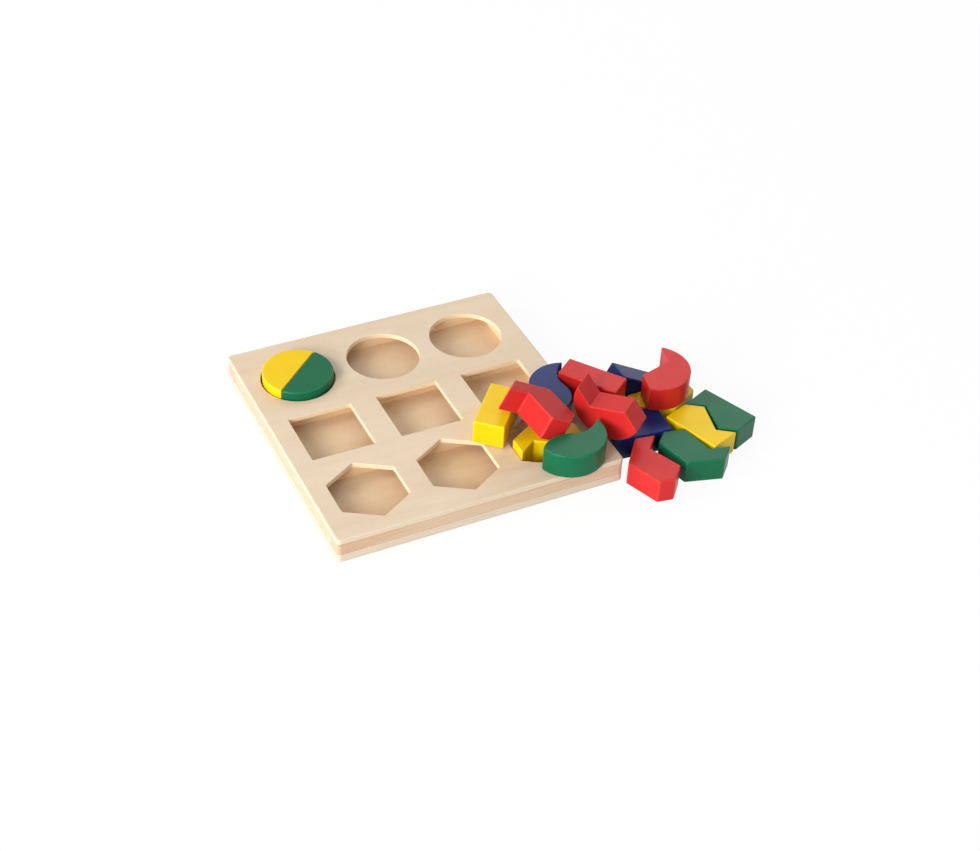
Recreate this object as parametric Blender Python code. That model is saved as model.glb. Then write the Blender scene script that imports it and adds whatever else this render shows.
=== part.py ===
"""Wooden shape puzzle: a layered board with nine shaped recesses and eighteen half blocks.

Units are metres, +Z is up, +X runs along the board's near edge and +Y away from it.
The origin is the centre of the board's underside, on the surface that the toy stands on.
"""
import math

import bmesh
import bpy
from mathutils import Matrix, Vector

MM = 0.001

# Board, outside sizes and layers
BOARD_LENGTH = 280 * MM
BOARD_WIDTH = 280 * MM
BASE_THICKNESS = 9 * MM
RAIL_HEIGHT = 11.9 * MM
TOP_THICKNESS = 4.5 * MM
LAYER_GAP = 0.3 * MM
BOARD_CORNER_RADIUS = 4 * MM
BOARD_EDGE_RADIUS = 1.6 * MM

# Grid of openings, from the board's edges to the middles of the outer openings
LEFT_MARGIN = 50.5 * MM
RIGHT_MARGIN = 54.9 * MM
FRONT_MARGIN = 52.5 * MM
BACK_MARGIN = 56.9 * MM
CHANNEL_HALF_WIDTH = 38.2 * MM
CHANNEL_END_REACH = 38.2 * MM
RAIL_SETBACK = 0.4 * MM

# Openings in the top plate
CIRCLE_RADIUS = 35.15 * MM
SQUARE_HALF_SIDE = 30.7 * MM
HEXAGON_RADIUS = 37.5 * MM
OPENING_CORNER_RADIUS = 1.2 * MM
OPENING_RIM_RADIUS = 0.7 * MM

# Blocks
BLOCK_THICKNESS = 25 * MM
CIRCLE_CLEARANCE = 1.5 * MM
SQUARE_CLEARANCE = 0.95 * MM
HEXAGON_CLEARANCE = 0.9 * MM
SAW_CUT = 0.5 * MM
BLOCK_EDGE_RADIUS = 1.4 * MM
REST_GAP = 0.3 * MM

# Cuts through the blocks, measured from the middle of the whole shape
ZIGZAG_OUT = 9.2 * MM
ZIGZAG_ALONG = 14.5 * MM
ZIGZAG_END_SHIFT = 2 * MM
WAVE_RISE = 6 * MM

# Smoothness of round outlines and edges
CIRCLE_SEGMENTS = 48
WAVE_SEGMENTS = 7
CORNER_SEGMENTS = 3
EDGE_SEGMENTS = 2
EDGE_ANGLE = math.radians(25)
SMOOTH_ANGLE = math.radians(35)
QUARTER_TURN = math.radians(90)

# Finishes as (red, green, blue), roughness
BIRCH = ((0.80, 0.63, 0.44), 0.55)
BASE_BIRCH = ((0.68, 0.50, 0.33), 0.6)
RAIL_WOOD = ((0.72, 0.52, 0.32), 0.6)
YELLOW = ((0.86, 0.56, 0.01), 0.35)
GREEN = ((0.02, 0.20, 0.10), 0.35)
RED = ((0.62, 0.03, 0.03), 0.35)
BLUE = ((0.02, 0.04, 0.20), 0.35)

# Heights that the layers give
BASE_TOP = BASE_THICKNESS
RAIL_BOTTOM = BASE_TOP + LAYER_GAP
RAIL_TOP = RAIL_BOTTOM + RAIL_HEIGHT
TOP_BOTTOM = RAIL_TOP + LAYER_GAP
BOARD_HEIGHT = TOP_BOTTOM + TOP_THICKNESS

# Sizes of the whole blocks, which fit the openings
BLOCK_CIRCLE_RADIUS = CIRCLE_RADIUS - CIRCLE_CLEARANCE
BLOCK_SQUARE_HALF = SQUARE_HALF_SIDE - SQUARE_CLEARANCE
COS_30 = math.cos(math.radians(30))
BLOCK_HEXAGON_FLAT = HEXAGON_RADIUS * COS_30 - HEXAGON_CLEARANCE
BLOCK_HEXAGON_RADIUS = BLOCK_HEXAGON_FLAT / COS_30

COLUMN_PITCH = (BOARD_LENGTH - LEFT_MARGIN - RIGHT_MARGIN) / 2
ROW_PITCH = (BOARD_WIDTH - FRONT_MARGIN - BACK_MARGIN) / 2
COLUMNS = [LEFT_MARGIN - BOARD_LENGTH / 2 + step * COLUMN_PITCH for step in range(3)]
FRONT_ROW = FRONT_MARGIN - BOARD_WIDTH / 2
ROWS = {
    "circle": FRONT_ROW + 2 * ROW_PITCH,
    "square": FRONT_ROW + ROW_PITCH,
    "hexagon": FRONT_ROW,
}

# Places in the heap are counted in steps of one 25th of the blocks' thickness
HEAP_STEP = BLOCK_THICKNESS / 25


def clear_scene():
    """Remove every object that the file starts with."""
    for item in list(bpy.data.objects):
        bpy.data.objects.remove(item, do_unlink=True)


def make_material(name, finish):
    """Return a Principled material with the finish's colour and roughness."""
    colour, roughness = finish
    material = bpy.data.materials.new(name)
    material.use_nodes = True
    shader = material.node_tree.nodes["Principled BSDF"]
    shader.inputs["Base Color"].default_value = (*colour, 1)
    shader.inputs["Roughness"].default_value = roughness
    shader.inputs["Metallic"].default_value = 0
    return material


def link_mesh(name, mesh, finish):
    """Link a new object for the mesh, with its own material."""
    item = bpy.data.objects.new(name, mesh)
    item.data.materials.append(make_material(name + "_finish", finish))
    bpy.context.collection.objects.link(item)
    return item


def arc(centre, radius, start, end, steps):
    """Return points on an arc, ends included, with angles in radians."""
    turns = [start + (end - start) * step / steps for step in range(steps + 1)]
    return [
        Vector((centre[0] + radius * math.cos(turn), centre[1] + radius * math.sin(turn)))
        for turn in turns
    ]


def regular_polygon(radius, sides, first_angle):
    """Return the corners of a regular polygon, anticlockwise."""
    return [
        Vector((radius * math.cos(angle), radius * math.sin(angle)))
        for angle in (first_angle + side * math.tau / sides for side in range(sides))
    ]


def offset_polygon(corners, distance):
    """Return a convex polygon's corners moved outwards by a distance on every side."""
    moved = []
    count = len(corners)
    for index, corner in enumerate(corners):
        before = (corner - corners[index - 1]).normalized()
        after = (corners[(index + 1) % count] - corner).normalized()
        normal_before = Vector((before.y, -before.x))
        normal_after = Vector((after.y, -after.x))
        bisector = (normal_before + normal_after).normalized()
        moved.append(corner + bisector * (distance / bisector.dot(normal_after)))
    return moved


def rounded_corner(corners, index, radius):
    """Return the arc that replaces one corner of a convex polygon."""
    corner = corners[index]
    before = (corners[index - 1] - corner).normalized()
    after = (corners[(index + 1) % len(corners)] - corner).normalized()
    half_angle = before.angle(after) / 2
    centre = corner + (before + after).normalized() * (radius / math.sin(half_angle))
    start = corner + before * (radius / math.tan(half_angle)) - centre
    first = math.atan2(start.y, start.x)
    return arc(centre, radius, first, first + math.pi - 2 * half_angle, CORNER_SEGMENTS)


def round_corners(corners, radius):
    """Return a convex polygon with each corner turned to a small arc."""
    points = []
    for index in range(len(corners)):
        points += rounded_corner(corners, index, radius)
    return points


def quarter_steps():
    """Return the angles of a rounded edge, from level to upright."""
    return [QUARTER_TURN * step / CORNER_SEGMENTS for step in range(CORNER_SEGMENTS + 1)]


def opening_outline(shape, grow):
    """Return one opening's outline round its own middle, grown by a distance."""
    if shape == "circle":
        return regular_polygon(CIRCLE_RADIUS + grow, CIRCLE_SEGMENTS, 0)
    if shape == "square":
        corners = regular_polygon(SQUARE_HALF_SIDE * math.sqrt(2), 4, math.radians(45))
    else:
        corners = regular_polygon(HEXAGON_RADIUS, 6, math.radians(30))
    corners = offset_polygon(corners, grow)
    return round_corners(corners, OPENING_CORNER_RADIUS + grow)


def loft(name, rings):
    """Return a closed mesh through rings of (x, y, z) points, capped at both ends."""
    shell = bmesh.new()
    layers = [[shell.verts.new(point) for point in ring] for ring in rings]
    count = len(layers[0])
    for lower, upper in zip(layers, layers[1:]):
        for index in range(count):
            after = (index + 1) % count
            shell.faces.new((lower[index], lower[after], upper[after], upper[index]))
    shell.faces.new(list(reversed(layers[0])))
    shell.faces.new(layers[-1])
    bmesh.ops.recalc_face_normals(shell, faces=shell.faces)
    mesh = bpy.data.meshes.new(name)
    shell.to_mesh(mesh)
    shell.free()
    return mesh


def lift_ring(outline, height, middle=(0, 0)):
    """Return an outline's points at a height, moved to a middle."""
    return [(point.x + middle[0], point.y + middle[1], height) for point in outline]


def rounded_slab(name, bottom, top, round_bottom, round_top):
    """Return a slab of the board's outline, with its outer edges rounded where asked."""
    half_x = BOARD_LENGTH / 2
    half_y = BOARD_WIDTH / 2
    corners = [Vector((half_x, half_y)), Vector((-half_x, half_y))]
    corners += [Vector((-half_x, -half_y)), Vector((half_x, -half_y))]
    levels = [(bottom, 0)]
    if round_bottom:
        levels = [edge_level(bottom, 1, turn) for turn in reversed(quarter_steps())]
    if round_top:
        levels += [edge_level(top, -1, turn) for turn in quarter_steps()]
    else:
        levels.append((top, 0))
    rings = []
    for height, inset in levels:
        outline = round_corners(offset_polygon(corners, -inset), BOARD_CORNER_RADIUS - inset)
        rings.append(lift_ring(outline, height))
    return loft(name, rings)


def edge_level(face, inward, turn):
    """Return the height and the inset of one step of a rounded edge."""
    height = face + inward * BOARD_EDGE_RADIUS * (1 - math.sin(turn))
    return height, BOARD_EDGE_RADIUS * (1 - math.cos(turn))


def opening_cutter(shape, middle):
    """Return a hidden cutter whose mouth flares to round the opening's rim."""
    levels = [(RAIL_BOTTOM, 0)]
    for turn in quarter_steps():
        height = BOARD_HEIGHT - OPENING_RIM_RADIUS * (1 - math.sin(turn))
        levels.append((height, OPENING_RIM_RADIUS * (1 - math.cos(turn))))
    levels.append((BOARD_HEIGHT + OPENING_RIM_RADIUS, OPENING_RIM_RADIUS))
    rings = [lift_ring(opening_outline(shape, grow), height, middle) for height, grow in levels]
    cutter = bpy.data.objects.new("cutter", loft("cutter", rings))
    bpy.context.collection.objects.link(cutter)
    cutter.hide_render = True
    cutter.display_type = "WIRE"
    return cutter


def link_bar(name, low, high, outer=0):
    """Build a bar between the plates, over a rectangle of the board.

    Its two corners on an outer side, -1 for near and 1 for far, follow the board's corners.
    """
    corners = [Vector(low), Vector((high[0], low[1])), Vector(high), Vector((low[0], high[1]))]
    outline = []
    for index, corner in enumerate(corners):
        side = -1 if index < 2 else 1
        if side == outer:
            outline += rounded_corner(corners, index, BOARD_CORNER_RADIUS - RAIL_SETBACK)
        else:
            outline.append(corner)
    mesh = loft(name, [lift_ring(outline, RAIL_BOTTOM), lift_ring(outline, RAIL_TOP)])
    link_mesh(name, mesh, RAIL_WOOD)


def build_board():
    """Build the base, the top with its openings, the four rails and the two dividers."""
    base = rounded_slab("base_plate", 0, BASE_TOP, True, False)
    link_mesh("base_plate", base, BASE_BIRCH)
    top = rounded_slab("top_plate", TOP_BOTTOM, BOARD_HEIGHT, False, True)
    plate = link_mesh("top_plate", top, BIRCH)
    for shape, row in ROWS.items():
        for column in COLUMNS:
            cut = plate.modifiers.new("opening", "BOOLEAN")
            cut.operation = "DIFFERENCE"
            cut.solver = "EXACT"
            cut.object = opening_cutter(shape, (column, row))

    half_x = BOARD_LENGTH / 2 - RAIL_SETBACK
    half_y = BOARD_WIDTH / 2 - RAIL_SETBACK
    channel_left = COLUMNS[0] - CHANNEL_END_REACH
    channel_right = COLUMNS[2] + CHANNEL_END_REACH
    far_inner = ROWS["circle"] + CHANNEL_HALF_WIDTH
    near_inner = ROWS["hexagon"] - CHANNEL_HALF_WIDTH
    link_bar("rail_back", (-half_x, far_inner), (half_x, half_y), 1)
    link_bar("rail_front", (-half_x, -half_y), (half_x, near_inner), -1)
    side_low = near_inner + LAYER_GAP
    side_high = far_inner - LAYER_GAP
    link_bar("rail_left", (-half_x, side_low), (channel_left, side_high))
    link_bar("rail_right", (channel_right, side_low), (half_x, side_high))
    bar_left = channel_left + LAYER_GAP
    bar_right = channel_right - LAYER_GAP
    back_low = ROWS["square"] + CHANNEL_HALF_WIDTH
    back_high = ROWS["circle"] - CHANNEL_HALF_WIDTH
    link_bar("divider_back", (bar_left, back_low), (bar_right, back_high))
    front_low = ROWS["hexagon"] + CHANNEL_HALF_WIDTH
    front_high = ROWS["square"] - CHANNEL_HALF_WIDTH
    link_bar("divider_front", (bar_left, front_low), (bar_right, front_high))


def cut_line(cut, end_y):
    """Return a cut's points from the far end to the near end of a half on the -X side."""
    if cut == "zigzag":
        points = [
            (-ZIGZAG_END_SHIFT, end_y(ZIGZAG_END_SHIFT)),
            (ZIGZAG_OUT, ZIGZAG_ALONG),
            (-ZIGZAG_OUT, -ZIGZAG_ALONG),
            (ZIGZAG_END_SHIFT, -end_y(ZIGZAG_END_SHIFT)),
        ]
        points = [Vector(point) for point in points]
    elif cut == "wave":
        reach = end_y(0)
        quarter = reach / 2
        radius = (quarter ** 2 + WAVE_RISE ** 2) / (2 * WAVE_RISE)
        depth = radius - WAVE_RISE
        sweep = math.asin(quarter / radius)
        bump = arc((-depth, quarter), radius, sweep, -sweep, WAVE_SEGMENTS)
        hollow = arc((depth, -quarter), radius, math.pi - sweep, math.pi + sweep, WAVE_SEGMENTS)
        points = bump + hollow[1:]
    else:
        points = [Vector((0, end_y(0))), Vector((0, -end_y(0)))]
    return [point - Vector((SAW_CUT / 2, 0)) for point in points]


def half_outline(shape, cut, turned_over):
    """Return the outline of a half block that lies on the -X side of its cut."""
    if shape == "circle":
        line = cut_line(cut, lambda x: math.sqrt(BLOCK_CIRCLE_RADIUS ** 2 - x ** 2))
        start = math.atan2(line[-1].y, line[-1].x) % math.tau
        end = math.atan2(line[0].y, line[0].x) % math.tau
        rim = arc((0, 0), BLOCK_CIRCLE_RADIUS, start, end, CIRCLE_SEGMENTS // 2)
        outline = line[1:-1] + rim
    elif shape == "square":
        half = BLOCK_SQUARE_HALF
        outline = cut_line(cut, lambda x: half) + [Vector((-half, -half)), Vector((-half, half))]
    else:
        flat = BLOCK_HEXAGON_FLAT
        corners = [
            Vector((-BLOCK_HEXAGON_RADIUS / 2, -flat)),
            Vector((-BLOCK_HEXAGON_RADIUS, 0)),
            Vector((-BLOCK_HEXAGON_RADIUS / 2, flat)),
        ]
        outline = cut_line(cut, lambda x: flat) + corners
    if turned_over:
        outline = [Vector((point.x, -point.y)) for point in reversed(outline)]
    return outline


def lying(turn):
    """Return the rotation of a block on its broad face, turned about the vertical."""
    return Matrix.Rotation(math.radians(turn), 3, "Z")


def standing(heading, roll):
    """Return the rotation of a block on its side, first rolled, then turned to a heading."""
    upright = Matrix.Rotation(QUARTER_TURN, 3, "X") @ Matrix.Rotation(math.radians(roll), 3, "Z")
    return Matrix.Rotation(math.radians(heading), 3, "Z") @ upright


def tilted(direction, tilt, turn):
    """Return the rotation of a turned block whose top then tilts down towards a direction."""
    across = math.radians(direction) + QUARTER_TURN
    axis = Vector((math.cos(across), math.sin(across), 0))
    return Matrix.Rotation(math.radians(tilt), 3, axis) @ Matrix.Rotation(math.radians(turn), 3, "Z")


def block(name, finish, shape, cut, turned_over, middle, rotation, support):
    """Make one half block with rounded edges, resting on a support height.

    The mesh's own origin is the middle of the whole shape, half way up its thickness.
    """
    outline = half_outline(shape, cut, turned_over)
    half = BLOCK_THICKNESS / 2
    low = lift_ring(outline, -half)
    high = lift_ring(outline, half)
    item = link_mesh(name, loft(name, [low, high]), finish)
    edges = item.modifiers.new("rounded edges", "BEVEL")
    edges.width = BLOCK_EDGE_RADIUS
    edges.segments = EDGE_SEGMENTS
    edges.limit_method = "ANGLE"
    edges.angle_limit = EDGE_ANGLE
    item.data.shade_smooth()
    item.data.set_sharp_from_angle(angle=SMOOTH_ANGLE)
    lowest = min((rotation @ Vector(point)).z for point in low + high)
    place = Vector((middle[0], middle[1], support - lowest))
    item.matrix_world = Matrix.Translation(place) @ rotation.to_4x4()
    return item


def near(anchor, x, y):
    """Return a place at a number of heap steps from an anchor."""
    return (anchor[0] + x * HEAP_STEP, anchor[1] + y * HEAP_STEP)


def build_seated_blocks():
    """Build the circle's two halves in the first recess."""
    recess = BASE_TOP + REST_GAP
    first = (COLUMNS[0], ROWS["circle"])
    turn = -48.3
    opposite = turn + 180
    block("circle_straight_yellow", YELLOW, "circle", "straight", False, first, lying(turn), recess)
    block("circle_straight_green", GREEN, "circle", "straight", False, first, lying(opposite), recess)


def build_blocks_on_board():
    """Build the half that fell into a recess and those that lie, lean or stand on the board."""
    recess = BASE_TOP + REST_GAP
    board = BOARD_HEIGHT + REST_GAP
    in_recess = recess + BLOCK_THICKNESS + REST_GAP
    third = (COLUMNS[2], ROWS["hexagon"])
    corner = (BOARD_LENGTH / 2, -BOARD_WIDTH / 2)
    place = near(third, -0.4, -16.2)
    block("hexagon_zigzag_yellow", YELLOW, "hexagon", "zigzag", False, place, lying(-90), recess)
    place = near(third, -21.3, 23.7)
    block("square_straight_yellow", YELLOW, "square", "straight", False, place, lying(-41.7), board)
    place = near(third, 10.5, -27)
    block("circle_wave_green", GREEN, "circle", "wave", False, place, lying(106.7), board)
    place = near(third, 38.6, 37)
    block("circle_wave_blue", BLUE, "circle", "wave", True, place, lying(-24), board)
    place = near(third, -14.4, -3.7)
    lean = tilted(-12.6, 24, 226.6)
    block("hexagon_zigzag_red_back", RED, "hexagon", "zigzag", False, place, lean, in_recess)
    place = near(corner, 11, 86.8)
    upright = standing(-53.5, -90)
    block("square_straight_red", RED, "square", "straight", False, place, upright, board)
    place = near(corner, 6.3, 40.2)
    upright = standing(-51.4, 68.1)
    block("circle_zigzag_red_standing", RED, "circle", "zigzag", True, place, upright, board)


def build_blocks_beside_board():
    """Build the halves of the heap that lie or stand beside the board."""
    floor = 0
    on_block = BLOCK_THICKNESS + REST_GAP
    corner = (BOARD_LENGTH / 2, -BOARD_WIDTH / 2)
    place = near(corner, 106, 21.9)
    block("square_zigzag_green", GREEN, "square", "zigzag", False, place, lying(-157.3), floor)
    place = near(corner, 104, 21.2)
    block("square_zigzag_yellow", YELLOW, "square", "zigzag", False, place, lying(19.8), floor)
    place = near(corner, 76.9, 0.1)
    block("hexagon_zigzag_green", GREEN, "hexagon", "zigzag", False, place, lying(44.9), floor)
    place = near(corner, 37, -11.2)
    block("hexagon_zigzag_red_front", RED, "hexagon", "zigzag", True, place, lying(-8.7), floor)
    place = near(corner, 35.2, 53.3)
    block("square_wave_blue_front", BLUE, "square", "wave", True, place, lying(85.7), floor)
    place = near(corner, 31.3, 107)
    block("square_wave_blue_back", BLUE, "square", "wave", False, place, lying(0), floor)
    place = near(corner, 79.5, 81.5)
    block("hexagon_straight_yellow", YELLOW, "hexagon", "straight", False, place, lying(90), floor)
    place = near(corner, 75.2, 80)
    block("circle_zigzag_red_top", RED, "circle", "zigzag", False, place, lying(137.5), on_block)
    place = near(corner, 70.9, 94.6)
    block("hexagon_straight_blue", BLUE, "hexagon", "straight", False, place, standing(0, 60), floor)


clear_scene()
build_board()
build_seated_blocks()
build_blocks_on_board()
build_blocks_beside_board()
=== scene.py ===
"""A wooden shape puzzle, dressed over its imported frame.

The board is a plywood tray with nine shaped openings. Eighteen painted half blocks belong to it: two are
seated, one has dropped into an opening and the others lie in a heap over the near right corner.
Lengths are in metres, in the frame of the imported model.
"""
from __future__ import annotations

import logging
import math
from dataclasses import dataclass, field
from enum import Enum
from typing import Callable, Iterable, Optional, Sequence, Union

import bmesh
import bpy
from mathutils import Matrix, Vector

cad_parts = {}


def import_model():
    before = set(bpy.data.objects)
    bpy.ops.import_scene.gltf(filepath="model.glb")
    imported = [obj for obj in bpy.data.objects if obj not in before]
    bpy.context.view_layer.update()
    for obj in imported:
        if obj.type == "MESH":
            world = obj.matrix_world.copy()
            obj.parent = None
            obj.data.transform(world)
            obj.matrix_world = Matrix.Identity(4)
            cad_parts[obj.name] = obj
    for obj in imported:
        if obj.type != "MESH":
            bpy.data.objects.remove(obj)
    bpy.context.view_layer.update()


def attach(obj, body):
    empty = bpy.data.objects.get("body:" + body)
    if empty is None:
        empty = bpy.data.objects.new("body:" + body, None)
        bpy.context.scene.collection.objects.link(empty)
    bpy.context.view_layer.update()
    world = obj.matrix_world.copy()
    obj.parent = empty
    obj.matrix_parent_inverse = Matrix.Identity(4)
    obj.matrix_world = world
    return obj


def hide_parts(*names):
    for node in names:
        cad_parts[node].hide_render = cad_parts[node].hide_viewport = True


MM = 0.001
LOG = logging.getLogger("shape puzzle")

Colour = tuple[float, float, float]
Point = tuple[float, float]
Triple = tuple[float, float, float]
Value = Union["Wire", float, Sequence[float]]

HEXAGON_SIDES = 6

# Half the angle that one side of a hexagon takes up, seen from its middle
HALF_SIDE_ANGLE = math.pi / HEXAGON_SIDES


# Shader sheets


class Wire:
    """A shader socket that takes part in plain arithmetic."""

    def __init__(self, sheet: "NodeSheet", socket: bpy.types.NodeSocket) -> None:
        """Hold a socket and the sheet that it is on."""
        self.sheet = sheet
        self.socket = socket

    def maths(self, operation: str, first: Value, second: Value = 0.0) -> "Wire":
        """Return the result of one Math node."""
        node = self.sheet.add("ShaderNodeMath", {"operation": operation}, {0: first, 1: second})
        return Wire(self.sheet, node.outputs[0])

    def __add__(self, other: Value) -> "Wire":
        """Return the sum."""
        return self.maths("ADD", self, other)

    def __radd__(self, other: Value) -> "Wire":
        """Return the sum, the other way round."""
        return self.maths("ADD", other, self)

    def __sub__(self, other: Value) -> "Wire":
        """Return the difference."""
        return self.maths("SUBTRACT", self, other)

    def __rsub__(self, other: Value) -> "Wire":
        """Return the difference, the other way round."""
        return self.maths("SUBTRACT", other, self)

    def __mul__(self, other: Value) -> "Wire":
        """Return the product."""
        return self.maths("MULTIPLY", self, other)

    def __rmul__(self, other: Value) -> "Wire":
        """Return the product, the other way round."""
        return self.maths("MULTIPLY", other, self)

    def __truediv__(self, other: Value) -> "Wire":
        """Return the quotient."""
        return self.maths("DIVIDE", self, other)

    def __rtruediv__(self, other: Value) -> "Wire":
        """Return the quotient, the other way round."""
        return self.maths("DIVIDE", other, self)

    def __abs__(self) -> "Wire":
        """Return the size without its sign."""
        return self.maths("ABSOLUTE", self)

    def sine(self) -> "Wire":
        """Return the sine."""
        return self.maths("SINE", self)

    def fraction(self) -> "Wire":
        """Return what is left above the whole number below."""
        return self.maths("FRACT", self)

    def over(self, limit: float) -> "Wire":
        """Return 1 where the value is over a limit, else 0."""
        return self.maths("GREATER_THAN", self, limit)

    def at_most(self, limit: float) -> "Wire":
        """Return the value, or a limit where the value is over it."""
        return self.maths("MINIMUM", self, limit)

    def ramp(self, low: float, high: float) -> "Wire":
        """Return a soft step from 0 to 1.

        Args:
            low: the value up to which the result is 0.
            high: the value from which the result is 1.

        Returns:
            The soft step.
        """
        settings = {"interpolation_type": "SMOOTHSTEP"}
        sockets = {"Value": self, "From Min": low, "From Max": high}
        return self.sheet.take("ShaderNodeMapRange", "Result", settings, sockets)

    def part(self, axis: str) -> "Wire":
        """Return one of a vector's three parts, named X, Y or Z."""
        return self.sheet.take("ShaderNodeSeparateXYZ", axis, {}, {"Vector": self})


@dataclass(frozen=True)
class Cloud:
    """A cloudy pattern in a material, with its changes per metre along three axes."""

    rate: Triple
    detail: float = 2.0
    distortion: float = 0.0
    shift: Triple = (0, 0, 0)


class NodeSheet:
    """The node sheet of a material, or of the room round the scene."""

    def __init__(self, owner: Union[bpy.types.Material, bpy.types.World]) -> None:
        """Start an empty sheet on its owner."""
        self.owner = owner
        owner.use_nodes = True
        self.tree = owner.node_tree
        self.tree.nodes.clear()

    @classmethod
    def of_material(cls, name: str) -> "NodeSheet":
        """Return the empty sheet of a new material."""
        return cls(bpy.data.materials.new(name))

    def add(self, kind: str, settings: Optional[dict] = None,
            sockets: Optional[dict] = None) -> bpy.types.Node:
        """Add a node.

        Args:
            kind: the node's type.
            settings: its settings by name, set first.
            sockets: values or wires for its inputs, by name or number.

        Returns:
            The new node.
        """
        node = self.tree.nodes.new(kind)
        for key, value in (settings or {}).items():
            setattr(node, key, value)
        for key, value in (sockets or {}).items():
            if isinstance(value, Wire):
                self.tree.links.new(value.socket, node.inputs[key])
            else:
                node.inputs[key].default_value = value
        return node

    def take(self, kind: str, output: Union[str, int], settings: dict, sockets: dict) -> Wire:
        """Add a node and return one of its outputs."""
        return Wire(self, self.add(kind, settings, sockets).outputs[output])

    def place(self) -> Wire:
        """Return the place on the object."""
        return self.take("ShaderNodeTexCoord", "Object", {}, {})

    def facing(self) -> Wire:
        """Return the direction that the surface faces."""
        return self.take("ShaderNodeTexCoord", "Normal", {}, {})

    def stored(self, name: str, output: str) -> Wire:
        """Return a value that is stored on the mesh."""
        return self.take("ShaderNodeAttribute", output, {"attribute_name": name}, {})

    def stretch(self, place: Wire, scale: Triple, turn: float = 0.0, shift: Triple = (0, 0, 0)) -> Wire:
        """Return a place that is turned about the vertical, moved and scaled by axis."""
        sockets = {"Vector": place, "Location": shift, "Rotation": (0, 0, turn), "Scale": scale}
        return self.take("ShaderNodeMapping", "Vector", {}, sockets)

    def noise(self, place: Wire, scale: float, detail: float, distortion: float = 0.0) -> Wire:
        """Return a cloudy value round a half."""
        sockets = {"Vector": place, "Scale": scale, "Detail": detail, "Distortion": distortion}
        return self.take("ShaderNodeTexNoise", "Fac", {}, sockets)

    def cloudy(self, place: Wire, cloud: Cloud, turn: float = 0.0) -> Wire:
        """Return a cloudy pattern round a half, turned about the vertical."""
        stretched = self.stretch(place, cloud.rate, turn, cloud.shift)
        return self.noise(stretched, 1.0, cloud.detail, cloud.distortion)

    def inside(self, place: Wire, reach: float) -> Wire:
        """Return 1 within a reach of the middle, along the front and along the side, else 0."""
        far_out = abs(place.part("X")).over(reach) + abs(place.part("Y")).over(reach)
        return 1.0 - far_out.over(0.5)

    def mix(self, factor: Value, first: Value, second: Value) -> Wire:
        """Mix two colours.

        Args:
            factor: 0 for the first colour, 1 for the second, or a share between them.
            first: the first colour, three numbers or a wire.
            second: the second colour.

        Returns:
            The mixed colour.
        """
        colours = [(*value, 1.0) if isinstance(value, tuple) else value for value in (first, second)]
        return self.take(
            "ShaderNodeMix", 2, {"data_type": "RGBA"}, {0: factor, 6: colours[0], 7: colours[1]})

    def bump(self, height: Value, distance: float, strength: float) -> Wire:
        """Return a normal that a height field tilts."""
        sockets = {"Height": height, "Distance": distance, "Strength": strength}
        return self.take("ShaderNodeBump", "Normal", {}, sockets)

    def close(self, surface: Wire, output: str = "ShaderNodeOutputMaterial") -> None:
        """Close the sheet with its output node."""
        self.add(output, {}, {"Surface": surface})

    def finish(self, sockets: dict) -> bpy.types.Material:
        """Close the sheet with a surface shader and return the material."""
        self.close(self.take("ShaderNodeBsdfPrincipled", 0, {}, sockets))
        return self.owner


# Finishes

# A wall that stands nearer to the board's middle than this is inside the board, where its wood is painted
# brighter and warmer as a painted glow of light bounced in the openings
OUTER_REACH = 138 * MM

# The level of the seam between the bars and the top plate
SEAM_LEVEL = 21.5 * MM

# What a block's mesh stores for its paint: each point's place on it, and which faces are eased edges
PLACE_ON_BLOCK = "place_on_block"
EASED_EDGE = "eased_edge"

# The material slot that marks a block's eased edges until they are stored
EASED_SLOT = 1


class GrainRun(Enum):
    """The way that the grain of a wooden part runs, as a turn about the vertical."""

    ALONG_FRONT = 0.0
    ALONG_SIDE = math.pi / 2


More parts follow.
